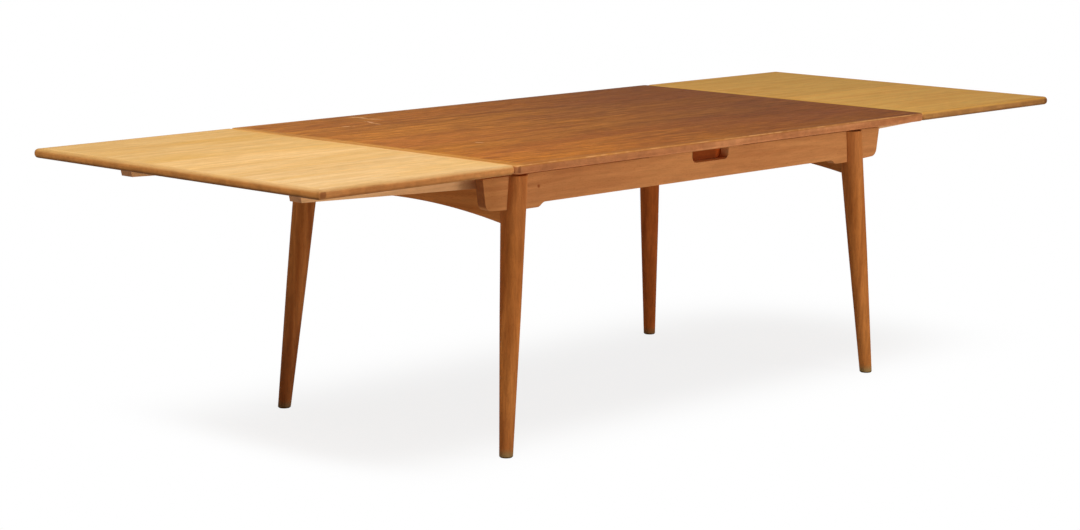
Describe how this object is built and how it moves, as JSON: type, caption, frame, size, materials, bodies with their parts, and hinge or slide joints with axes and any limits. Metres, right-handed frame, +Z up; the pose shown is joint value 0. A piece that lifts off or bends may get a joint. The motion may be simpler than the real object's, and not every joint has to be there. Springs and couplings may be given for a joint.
{
  "type": "extending dining table",
  "caption": "Draw-leaf dining table shown extended: loose main top, leaves on sloping lopers, long aprons with ears, arched end rails and round tapered splayed legs.",
  "frame": {"origin": "middle of the table at floor level", "axes": "+X along the table towards the right leaf, +Y towards the rear apron, +Z up"},
  "size_m": [2.8272, 0.986, 0.712],
  "materials": {
    "top_wood": "oiled reddish brown wood, fine grain along the table",
    "top_lipping_wood": "oiled reddish brown solid wood",
    "left_leaf_wood": "pale honey wood, satin",
    "right_leaf_wood": "golden wood, satin",
    "frame_wood": "warm brown solid wood, satin",
    "slide_wood": "plain wood, unpolished",
    "screw_steel": "zinc plated",
    "felt": "felt"
  },
  "bodies": {
    "frame": {"centre_board": "slide_wood", "centre_felts": "felt", "centre_screws": "screw_steel", "front_apron": "frame_wood", "front_left_leg": "frame_wood", "front_right_leg": "frame_wood", "left_end_rail": "frame_wood", "rear_apron": "frame_wood", "rear_left_leg": "frame_wood", "rear_right_leg": "frame_wood", "right_end_rail": "frame_wood"},
    "main_top": {"front_guide_block": "slide_wood", "guide_screws": "screw_steel", "rear_guide_block": "slide_wood", "top_front_lipping": "top_lipping_wood", "top_left_lipping": "top_lipping_wood", "top_panel": "top_wood", "top_rear_lipping": "top_lipping_wood", "top_right_lipping": "top_lipping_wood"},
    "left_leaf": {"left_front_loper": "slide_wood", "left_leaf_front_lipping": "left_leaf_wood", "left_leaf_inner_lipping": "left_leaf_wood", "left_leaf_outer_lipping": "left_leaf_wood", "left_leaf_panel": "left_leaf_wood", "left_leaf_rear_lipping": "left_leaf_wood", "left_loper_screws": "screw_steel", "left_rear_loper": "slide_wood", "left_stop_pins": "slide_wood"},
    "right_leaf": {"right_front_loper": "slide_wood", "right_leaf_front_lipping": "right_leaf_wood", "right_leaf_inner_lipping": "right_leaf_wood", "right_leaf_outer_lipping": "right_leaf_wood", "right_leaf_panel": "right_leaf_wood", "right_leaf_rear_lipping": "right_leaf_wood", "right_loper_screws": "screw_steel", "right_rear_loper": "slide_wood", "right_stop_pins": "slide_wood"}
  },
  "joints": [
    {"name": "top_lift", "type": "slide", "parent": "frame", "child": "main_top", "axis": [0, 0, 1], "range_m": [0, 0.08]},
    {"name": "left_leaf_slide", "type": "slide", "parent": "frame", "child": "left_leaf", "axis": [-0.9993, 0, 0.0375], "range_m": [0, 0.04]},
    {"name": "right_leaf_slide", "type": "slide", "parent": "frame", "child": "right_leaf", "axis": [0.9993, 0, 0.0375], "range_m": [0, 0.04]}
  ]
}
